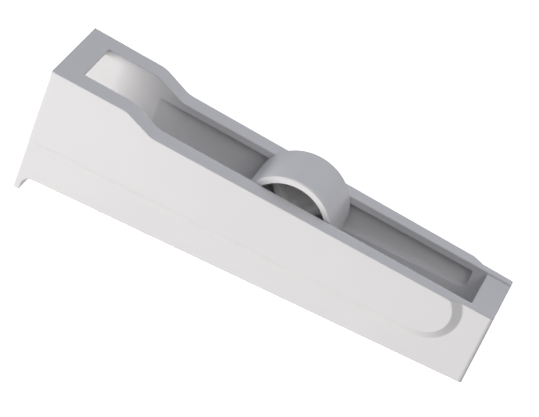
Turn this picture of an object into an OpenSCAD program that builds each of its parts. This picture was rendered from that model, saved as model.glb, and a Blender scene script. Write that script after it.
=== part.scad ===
// Roller clamp for soft laboratory tubing.
// The housing is a wedge-shaped trough. A roller rides in grooves in its two side walls
// and squeezes a soft tube against the floor as it moves towards the low end.
//
// Housing frame: X runs along the flat underside from the tall end to the low end,
// Y runs across the housing, and Z = 0 is the flat underside.
// The finished part is tipped so that it stands on its lip and on its low end, with the
// origin at the bottom centre of its box.

/* [Housing] */
// Length of the housing
body_length = 60; // [50:1:75]
// Height of the tall end, up to the raised rim
tall_height = 15.3; // [14.5:0.1:18]
// Height of the low end
low_height = 9.9; // [9.5:0.1:11.5]
// How far the rim at the tall end stands above the long top edge
rim_raise = 1.6; // [0.8:0.1:2.4]
// Length of the raised rim
rim_length = 10.2; // [7:0.1:14]
// Length of the ramp from the rim down to the long top edge
rim_ramp = 3.9; // [2:0.1:6]
// Width of the lower walls at the tall end
tall_width = 13.5; // [12.4:0.1:14]
// Width of the lower walls at the low end
low_width = 10.3; // [9.9:0.1:11.5]
// How far the low end leans in at its foot
low_end_lean = 0.3; // [0:0.05:0.5]
// Rounding of the two upright edges at the low end
end_round = 0.35; // [0.1:0.05:0.8]

/* [Channel] */
// Clear width between the side walls
channel_width = 8.2; // [7:0.1:8.4]
// Thickness of the floor
floor_thick = 1.2; // [0.8:0.1:1.6]
// Length of the bridge that ties the walls together at the tall end
bridge_length = 3.2; // [2:0.1:5]
// Thickness of that bridge
bridge_thick = 1; // [0.8:0.1:2]
// Bevel under the bridge's inner edge
bridge_bevel = 0.8; // [0.1:0.1:0.8]
// Length of the solid block at the low end
block_length = 3.2; // [2.5:0.1:5]
// How far the top of the block lies below the wall tops
block_drop = 0.25; // [0.1:0.05:0.4]
// Diameter of the hole in the block that the tube leaves by
tube_hole_d = 4.6; // [4.2:0.1:5]

/* [Grooves] */
// Depth of the groove in each side wall
groove_depth = 1; // [0.8:0.05:1.2]
// Gap between the roller and the floor while the axle rests on the groove's ledge
pinch_gap = 0.6; // [0.2:0.05:0.8]
// Height of the lip left above the groove
lip_height = 0.95; // [0.8:0.05:1.2]
// Distance from the tall end to the start of the groove
groove_start = 11.3; // [10:0.1:14]
// Length over which the groove deepens at its start
groove_run = 4; // [1:0.5:6]
// Distance from the end of the groove to the low end
groove_end_gap = 5; // [4.6:0.1:7]
// Rounding of the lower corner at the groove's end
groove_round = 0.9; // [0.4:0.1:1.2]

/* [Side pads] */
// Width across the raised side pads at the tall end
pad_tall_width = 14.1; // [13.6:0.1:16]
// Width across the raised side pads, carried on to the low end
pad_low_width = 11.7; // [11.6:0.1:13]
// Height of the pad's lower edge at the tall end
pad_tall_edge = 5.4; // [4.6:0.1:6]
// Height of the pad's lower edge at the low end
pad_low_edge = 4.55; // [3.5:0.05:4.8]
// Radius of the round end of the pad's flat face
pad_end_round = 3.3; // [2.5:0.1:4]
// Distance from the end of the pad's flat face to the low end
pad_end_gap = 4.6; // [4.4:0.1:7]
// Run of the sloping pad edge for each millimetre of its depth
pad_edge_run = 1.65; // [1:0.05:2.4]

/* [Lip] */
// How far the lip at the tall end reaches below the underside
hook_depth = 2; // [1:0.1:3]
// Thickness of the lip
hook_thick = 0.85; // [0.6:0.05:1.4]
// Radius of the hollow corner behind the lip
hook_fillet = 1.2; // [0.5:0.1:1.8]
// Rounding of the lip's lower edges
hook_round = 0.3; // [0.1:0.05:0.4]

/* [Roller] */
// Diameter of the roller
roller_d = 12.3; // [11:0.1:12.6]
// Side clearance between the roller and each wall
roller_clear = 0.1; // [0.05:0.05:0.3]
// Thickness of the roller's rim
roller_rim = 0.82; // [0.6:0.02:1.4]
// Rounding of the rim's outer edges
roller_edge = 0.15; // [0.05:0.05:0.3]
// Thickness of the disc in the middle of the roller
web_thick = 1; // [0.8:0.1:2]
// How far the ribs stop short of the roller's end faces
rib_recess = 1.6; // [1:0.05:2.5]
// Thickness of the ribs
rib_thick = 0.7; // [0.5:0.05:1.2]
// Number of ribs on each side of the disc
rib_count = 4; // [3:1:6]
// Turn of the ribs about the axle, in degrees
rib_turn = 39; // [0:1:90]
// Diameter of the hub inside the roller
hub_d = 3.3; // [3.1:0.1:5]
// Diameter of the two axle stubs
stub_d = 2.5; // [2:0.05:2.6]
// Clearance between the end of a stub and the bottom of its groove
stub_clear = 0.15; // [0.05:0.05:0.3]
// Distance from the tall end to the roller's axle
roller_at = 32.2; // [20:0.1:49]
// Share of the free height in the groove that lies below the axle stubs
axle_rise = 0.34; // [0.05:0.01:0.95]

/* [Hidden] */

$fn = 96;
cut = 1;                // how far a cutting shape runs past the face that it cuts
arc_steps = 6;          // straight steps in each rounded corner of the side outline
rim_corner = 3;         // radius of the two bends in the top edge

// The rim and the long top edge are parallel.
top_slope = (tall_height - rim_raise - low_height) / body_length;
top_angle = atan(top_slope);
rim_end_z = tall_height - top_slope * rim_length;
main_start_x = rim_length + rim_ramp;
main_start_z = long_top(main_start_x);
ramp_angle = atan((rim_end_z - main_start_z) / rim_ramp);

// The low end leans in towards its foot.
lean_angle = atan(low_end_lean / low_height);

// Grooves: a level ledge below, and an upper edge that follows the long top edge.
// They deepen from nothing over groove_run.
groove_end = body_length - groove_end_gap;
groove_half = channel_width / 2 + groove_depth;
groove_top_end = long_top(groove_end) - lip_height;

// Side pads: their flat faces draw in towards the low end, where they end in a round.
pad_taper = atan((pad_tall_width - pad_low_width) / 2 / body_length);
pad_depth = 1.6;        // how deep the pad body reaches into the wall behind its face
pad_end_x = body_length - pad_end_gap - pad_end_round;
pad_end_z = pad_low_edge + pad_end_round;
pad_edge_angle = atan((pad_tall_edge - pad_low_edge) / pad_end_x);

// Roller: the axle stubs ride between the groove's ledge and its upper edge.
roller_r = roller_d / 2;
roller_half = channel_width / 2 - roller_clear;
stub_half = groove_half - stub_clear;
rib_half = roller_half - rib_recess;
ledge_height = floor_thick + pinch_gap + roller_r - stub_d / 2;
groove_free = long_top(roller_at) - lip_height - ledge_height - stub_d;
roller_z = ledge_height + stub_d / 2 + axle_rise * groove_free;

// The part stands on the lip and on the lower edge of the low end.
foot_x = body_length - low_end_lean;
tip_reach_x = foot_x - hook_thick + hook_round;
tip_reach_z = hook_depth - hook_round;
rest_tilt = atan(tip_reach_z / tip_reach_x)
    + asin(hook_round / norm([tip_reach_x, tip_reach_z]));
rest_lift = foot_x * sin(rest_tilt);
box_min_x = hook_round * (cos(rest_tilt) - 1) - tip_reach_z * sin(rest_tilt);
box_max_x = body_length * cos(rest_tilt) + low_height * sin(rest_tilt);

// Height of the long top edge at a distance x from the tall end
function long_top(x) = tall_height - rim_raise - top_slope * x;

// Points of an arc about (cx, cz) from angle a to angle b
function arc(cx, cz, r, a, b) =
    [for (i = [0 : arc_steps]) let (t = a + (b - a) * i / arc_steps)
        [cx + r * cos(t), cz + r * sin(t)]];

// Length cut off each line by a bend of radius r that turns by the angle turn
function bend(r, turn) = r * tan(turn / 2);

// Tips the housing frame into the frame in which the part stands.
module stand() {
    translate([-(box_min_x + box_max_x) / 2, 0, rest_lift])
        rotate([0, rest_tilt, 0]) children();
}

// Extrudes an X-Z outline across the housing, from y0 to y1.
module across(y0, y1) {
    translate([0, y1, 0]) rotate([90, 0, 0]) linear_extrude(y1 - y0) children();
}

// Both sides of the housing
module both_sides() {
    children();
    mirror([0, 1, 0]) children();
}

// Side outline of the housing, without the lip
module side_outline() {
    turn = ramp_angle - top_angle;
    run = bend(rim_corner, turn);
    up_x = rim_length - run * cos(top_angle);
    up_z = rim_end_z + run * sin(top_angle);
    low_x = main_start_x + run * cos(top_angle);
    low_z = main_start_z - run * sin(top_angle);
    polygon(concat(
        [[0, 0], [0, tall_height]],
        arc(up_x - rim_corner * sin(top_angle), up_z - rim_corner * cos(top_angle),
            rim_corner, 90 - top_angle, 90 - ramp_angle),
        arc(low_x + rim_corner * sin(top_angle), low_z + rim_corner * cos(top_angle),
            rim_corner, 270 - ramp_angle, 270 - top_angle),
        [[body_length, low_height], [foot_x, 0]]));
}

// Lip across the tall end, with a hollow corner behind it; its ends are cut to the walls' plan.
module lip() {
    side_y = tall_width / 2 + cut;
    tip_x = hook_thick - hook_round;
    tip_z = hook_round - hook_depth;
    back_x = hook_thick + hook_fillet;
    difference() {
        union() {
            across(-side_y, side_y) polygon([
                [0, floor_thick / 2], [0, tip_z], [hook_thick, tip_z],
                [hook_thick, -hook_fillet], [back_x, 0], [back_x, floor_thick / 2]]);
            across(-side_y, side_y) polygon([
                [hook_round, tip_z], [hook_round, -hook_depth], [tip_x, -hook_depth],
                [tip_x, tip_z]]);
            for (x = [hook_round, tip_x])
                translate([x, side_y, tip_z]) rotate([90, 0, 0])
                    cylinder(r = hook_round, h = 2 * side_y);
        }
        translate([back_x, side_y + cut, -hook_fillet]) rotate([90, 0, 0])
            cylinder(r = hook_fillet, h = 2 * (side_y + cut));
    }
}

// Plan of the lower walls, as a tall block
module wall_plan() {
    translate([0, 0, -hook_depth - cut])
        linear_extrude(tall_height + hook_depth + 2 * cut) polygon([
            [0, -tall_width / 2], [body_length, -low_width / 2],
            [body_length, low_width / 2], [0, tall_width / 2]]);
}

// Raised pad on the near side: a sloping lower edge and a sloping round end
module pad() {
    grow = pad_edge_run * pad_depth;
    translate([0, -pad_tall_width / 2, 0]) rotate([0, 0, pad_taper])
        translate([pad_end_x, 0, pad_end_z]) {
            rotate([-90, 0, 0])
                cylinder(r1 = pad_end_round, r2 = pad_end_round + grow, h = pad_depth);
            rotate([0, pad_edge_angle, 0]) translate([-body_length, 0, 0]) rotate([90, 0, 90])
                linear_extrude(body_length) polygon([
                    [0, -pad_end_round], [pad_depth, -pad_end_round - grow],
                    [pad_depth, tall_height], [0, tall_height]]);
        }
}

// Groove in the near wall: a level ledge, a sloping upper edge and a sloping start
module groove() {
    y0 = -groove_half;
    y1 = -channel_width / 2 + cut;
    from_x = groove_start - cut;
    turn_x = groove_end - groove_round;
    shelf_z = ledge_height + groove_round;
    intersection() {
        union() {
            across(y0, y1) polygon([
                [from_x, ledge_height], [from_x, long_top(from_x) - lip_height],
                [groove_end, groove_top_end], [groove_end, shelf_z], [turn_x, shelf_z],
                [turn_x, ledge_height]]);
            translate([turn_x, y1, shelf_z]) rotate([90, 0, 0])
                cylinder(r = groove_round, h = y1 - y0);
        }
        // plan of the groove, drawn past its faces along the slope at its start
        translate([groove_start, -channel_width / 2, 0]) linear_extrude(tall_height) polygon([
            [-2 * groove_run, 2 * groove_depth], [2 * groove_run, -2 * groove_depth],
            [body_length, -2 * groove_depth], [body_length, 2 * groove_depth]]);
    }
}

// Rounds one upright edge at the low end.
module end_corner_cut() {
    translate([body_length, end_round - low_width / 2, low_height])
        rotate([0, lean_angle, 0]) translate([-end_round, 0, -low_height - cut])
            difference() {
                translate([0, -end_round - cut, 0])
                    cube([end_round + cut, end_round + cut, low_height + 2 * cut]);
                translate([0, 0, -cut]) cylinder(r = end_round, h = low_height + 4 * cut);
            }
}

module housing() {
    inner = channel_width / 2;
    block_x = body_length - block_length;
    bridge_under_z = tall_height - top_slope * bridge_length - bridge_thick;
    color("whitesmoke") stand() difference() {
        union() {
            intersection() {
                union() {
                    wall_plan();
                    both_sides() pad();
                }
                across(-pad_tall_width, pad_tall_width) side_outline();
            }
            intersection() {
                lip();
                wall_plan();
            }
        }
        // open channel between the bridge and the block
        translate([bridge_length, -inner, floor_thick])
            cube([block_x - bridge_length, channel_width, tall_height]);
        // open end under the bridge, bevelled below the bridge's inner edge
        across(-inner, inner) polygon([
            [-cut, floor_thick], [-cut, bridge_under_z],
            [bridge_length - bridge_bevel, bridge_under_z],
            [bridge_length + cut, bridge_under_z + bridge_bevel + cut],
            [bridge_length + cut, floor_thick]]);
        // hollow in the top of the block
        across(-inner, inner) polygon([
            [block_x - cut, long_top(block_x - cut) - block_drop],
            [body_length + cut, long_top(body_length + cut) - block_drop],
            [body_length + cut, tall_height], [block_x - cut, tall_height]]);
        // tube hole through the block
        translate([block_x - cut, 0, floor_thick + tube_hole_d / 2]) rotate([0, 90, 0])
            cylinder(d = tube_hole_d, h = block_length + 2 * cut);
        both_sides() groove();
        both_sides() end_corner_cut();
    }
}

module roller() {
    rim_inner = roller_r - roller_rim;
    color("white") stand() translate([roller_at, 0, roller_z]) rotate([90, 0, 0]) {
        // rim with rounded outer edges
        rotate_extrude() difference() {
            translate([rim_inner, -roller_half]) square([roller_rim, 2 * roller_half]);
            for (side = [-1, 1])
                translate([roller_r, side * roller_half]) rotate([0, 0, 45])
                    square(roller_edge * sqrt(2), center = true);
        }
        // disc, hub and axle stubs
        cylinder(r = rim_inner + roller_rim / 2, h = web_thick, center = true);
        cylinder(d = hub_d, h = 2 * rib_half, center = true);
        cylinder(d = stub_d, h = 2 * stub_half, center = true);
        // ribs from the hub to the rim
        for (i = [0 : rib_count - 1])
            rotate([0, 0, rib_turn + i * 360 / rib_count])
                translate([0, -rib_thick / 2, -rib_half])
                    cube([rim_inner + roller_rim / 2, rib_thick, 2 * rib_half]);
    }
}

housing();
roller();
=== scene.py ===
import math

import bmesh
import bpy
from mathutils import Matrix, Vector

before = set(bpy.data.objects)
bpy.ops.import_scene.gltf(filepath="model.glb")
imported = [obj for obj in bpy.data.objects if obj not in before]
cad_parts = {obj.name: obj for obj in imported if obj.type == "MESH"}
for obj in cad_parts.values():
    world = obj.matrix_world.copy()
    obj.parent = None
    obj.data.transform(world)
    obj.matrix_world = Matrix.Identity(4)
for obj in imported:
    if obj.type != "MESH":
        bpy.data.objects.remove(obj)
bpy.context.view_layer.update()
MM = 0.001
WHITE = (1, 1, 1)


# ---------------------------------------------------------------- helpers
def add(name, data):
    """Makes an object from its data and puts it in the scene."""
    obj = bpy.data.objects.new(name, data)
    bpy.context.scene.collection.objects.link(obj)
    return obj


def aim(obj, target, azimuth, elevation, distance, roll=0.0):
    """Puts obj at a distance from target, looking at it. Azimuth 0 looks along +Y. Angles are in degrees."""
    az, el = math.radians(azimuth), math.radians(elevation)
    out = Vector((math.sin(az) * math.cos(el), -math.cos(az) * math.cos(el), math.sin(el)))
    turn = (-out).to_track_quat("-Z", "Y").to_matrix().to_4x4()
    obj.matrix_world = (Matrix.Translation(Vector(target) + out * distance) @ turn
                        @ Matrix.Rotation(math.radians(roll), 4, "Z"))


def node(tree, kind, at=(0, 0), **values):
    """Adds a shader node. Each value sets the input of that name, or else the node's own property."""
    made = tree.nodes.new(kind)
    made.location = at
    for key, value in values.items():
        if key in made.inputs:
            made.inputs[key].default_value = value
        else:
            setattr(made, key, value)
    return made


def set_stops(ramp, stops):
    """Gives a colour ramp its stops, in rising order, each a place from 0 to 1 and a colour."""
    elements = ramp.color_ramp.elements
    while len(elements) < len(stops):
        elements.new(1.0)
    for element, (place, colour) in zip(elements, stops):
        element.position = place
        element.color = (*colour, 1)


def tinted(brightness, tint):
    return [brightness * share for share in tint]


# ---------------------------------------------------------------- camera
SENSOR, LENS = 36.0, 180.67             # millimetres
CLIP_START = 0.01
CAMERA_TARGET = (-0.346 * MM, 0, 8.162 * MM)
CAMERA_DISTANCE = 329.61 * MM

cam = add("camera", bpy.data.cameras.new("camera"))
bpy.context.scene.camera = cam
cam.data.sensor_width = SENSOR
cam.data.lens = LENS
cam.data.clip_start = CLIP_START
aim(cam, CAMERA_TARGET, azimuth=8.544, elevation=30.583, distance=CAMERA_DISTANCE, roll=19.963)

# ---------------------------------------------------------------- plastic
PLASTIC_IOR, PLASTIC_SPECULAR = 1.49, 0.4
CLOUD_SCALE, CLOUD_DETAIL = 90.0, 3.0   # broad, faint changes of colour
CLOUD_DARK, CLOUD_FULL = 0.35, 0.7      # noise at which the colour is darkest, and at which it is full
CLOUD_SHARE = 0.975                     # the darkest colour, as a share of the full one
GRAIN_SCALE, GRAIN_DETAIL = 5200.0, 2.0  # the fine grain that the mould leaves
GRAIN_STRENGTH, GRAIN_DEPTH = 0.12, 0.02 * MM
ROUGHNESS_SPREAD = 0.05                 # how far the grain takes the roughness up and down
EDGE_SAMPLES = 8


def moulded_plastic(name, colour, roughness, edge):
    """Satin plastic with faint clouds of colour, a fine grain, and edges shaded as rounds of radius edge."""
    material = bpy.data.materials.new(name)
    material.use_nodes = True
    tree = material.node_tree
    tree.nodes.clear()
    out = node(tree, "ShaderNodeOutputMaterial", (900, 0))
    shader = node(tree, "ShaderNodeBsdfPrincipled", (600, 0), IOR=PLASTIC_IOR)
    shader.inputs["Specular IOR Level"].default_value = PLASTIC_SPECULAR
    tree.links.new(shader.outputs[0], out.inputs[0])
    place = node(tree, "ShaderNodeTexCoord", (-900, 0))

    cloud = node(tree, "ShaderNodeTexNoise", (-600, 200), Scale=CLOUD_SCALE, Detail=CLOUD_DETAIL)
    tree.links.new(place.outputs["Object"], cloud.inputs["Vector"])
    ramp = node(tree, "ShaderNodeValToRGB", (-300, 200))
    set_stops(ramp, ((CLOUD_DARK, tinted(CLOUD_SHARE, colour)), (CLOUD_FULL, colour)))
    tree.links.new(cloud.outputs[0], ramp.inputs[0])
    tree.links.new(ramp.outputs[0], shader.inputs["Base Color"])

    grain = node(tree, "ShaderNodeTexNoise", (-600, -200), Scale=GRAIN_SCALE, Detail=GRAIN_DETAIL)
    tree.links.new(place.outputs["Object"], grain.inputs["Vector"])
    spread = node(tree, "ShaderNodeMapRange", (-300, -100))
    spread.inputs["To Min"].default_value = roughness - ROUGHNESS_SPREAD
    spread.inputs["To Max"].default_value = roughness + ROUGHNESS_SPREAD
    tree.links.new(grain.outputs[0], spread.inputs["Value"])
    tree.links.new(spread.outputs[0], shader.inputs["Roughness"])

    bump = node(tree, "ShaderNodeBump", (200, -300), Strength=GRAIN_STRENGTH, Distance=GRAIN_DEPTH)
    tree.links.new(grain.outputs[0], bump.inputs["Height"])
    soft = node(tree, "ShaderNodeBevel", (-100, -450), samples=EDGE_SAMPLES, Radius=edge)
    tree.links.new(soft.outputs[0], bump.inputs["Normal"])
    tree.links.new(bump.outputs[0], shader.inputs["Normal"])
    return material


plastics = {
    "housing": moulded_plastic("housing_plastic", (0.73, 0.72, 0.715), 0.45, 0.25 * MM),
    "roller": moulded_plastic("roller_plastic", (0.76, 0.75, 0.745), 0.38, 0.04 * MM),
}
for name, plastic in plastics.items():
    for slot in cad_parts[name].material_slots:
        slot.material = plastic

# ---------------------------------------------------------------- floor and surround
FLOOR_HALF = 3
SURROUND_RADIUS = 2.9


def seen_only(obj, base, roughness, glow):
    """Makes obj glow white to the camera. It gives no diffuse light, and light passes through it."""
    material = bpy.data.materials.new(obj.name)
    material.use_nodes = True
    shader = material.node_tree.nodes["Principled BSDF"]
    shader.inputs["Base Color"].default_value = (*base, 1)
    shader.inputs["Roughness"].default_value = roughness
    shader.inputs["Specular IOR Level"].default_value = 0.0
    shader.inputs["Emission Color"].default_value = (*WHITE, 1)
    shader.inputs["Emission Strength"].default_value = glow
    obj.data.materials.append(material)
    obj.visible_diffuse = False
    obj.visible_shadow = False


floor_mesh = bpy.data.meshes.new("floor")
corners = [(x * FLOOR_HALF, y * FLOOR_HALF, 0) for x, y in ((-1, -1), (1, -1), (1, 1), (-1, 1))]
floor_mesh.from_pydata(corners, [], [(0, 1, 2, 3)])
floor = add("floor", floor_mesh)
seen_only(floor, (0.9, 0.9, 0.9), roughness=0.9, glow=0.8)

# A white surround, which shows only where the camera's far clip reaches it.
ball = bmesh.new()
bmesh.ops.create_uvsphere(ball, u_segments=48, v_segments=24, radius=SURROUND_RADIUS)
surround_mesh = bpy.data.meshes.new("surround")
ball.to_mesh(surround_mesh)
ball.free()
surround = add("surround", surround_mesh)
seen_only(surround, (0, 0, 0), roughness=1.0, glow=1.0)
surround.visible_glossy = False

# ---------------------------------------------------------------- light
LAMP_TARGET = (0, 0, 5 * MM)
LAMP_DISTANCE = 0.6


def area(name, azimuth, elevation, size, power, colour=WHITE):
    lamp = bpy.data.lights.new(name, "AREA")
    lamp.shape = "SQUARE"
    lamp.size = size
    lamp.energy = power
    lamp.color = colour
    aim(add(name, lamp), LAMP_TARGET, azimuth, elevation, LAMP_DISTANCE)


# The key and the back lamp stand a little below the floor and shine through it.
area("key", -48, -10, size=0.3, power=3.75, colour=(1.0, 0.98, 0.975))
area("front", 42, 40, size=0.3, power=0.45, colour=(1.0, 0.94, 0.89))
area("back", 180, -8, size=0.4, power=1.6)

# The room: a white table's light from below the horizon, dim at eye level, brighter above.
TABLE = tinted(0.34, WHITE)
EYE = tinted(0.03, (0.93, 0.96, 1))
SKY = tinted(0.66, (0.86, 0.9, 1))
# Each stop's place is half of 1 plus the sine of the elevation.
ROOM_STOPS = ((0.48, TABLE), (0.52, EYE), (0.66, EYE), (0.80, SKY))

world = bpy.data.worlds.new("world")
bpy.context.scene.world = world
world.use_nodes = True
tree = world.node_tree
background = tree.nodes["Background"]
background.inputs["Strength"].default_value = 1.0
place = node(tree, "ShaderNodeTexCoord", (-900, 0))
direction = node(tree, "ShaderNodeSeparateXYZ", (-700, 0))
tree.links.new(place.outputs["Generated"], direction.inputs[0])
height = node(tree, "ShaderNodeMapRange", (-500, 0))
height.inputs["From Min"].default_value = -1.0
tree.links.new(direction.outputs["Z"], height.inputs["Value"])
ramp = node(tree, "ShaderNodeValToRGB", (-300, 0))
set_stops(ramp, ROOM_STOPS)
tree.links.new(height.outputs[0], ramp.inputs[0])
tree.links.new(ramp.outputs[0], background.inputs["Color"])
bpy.context.scene.view_settings.view_transform = "Standard"
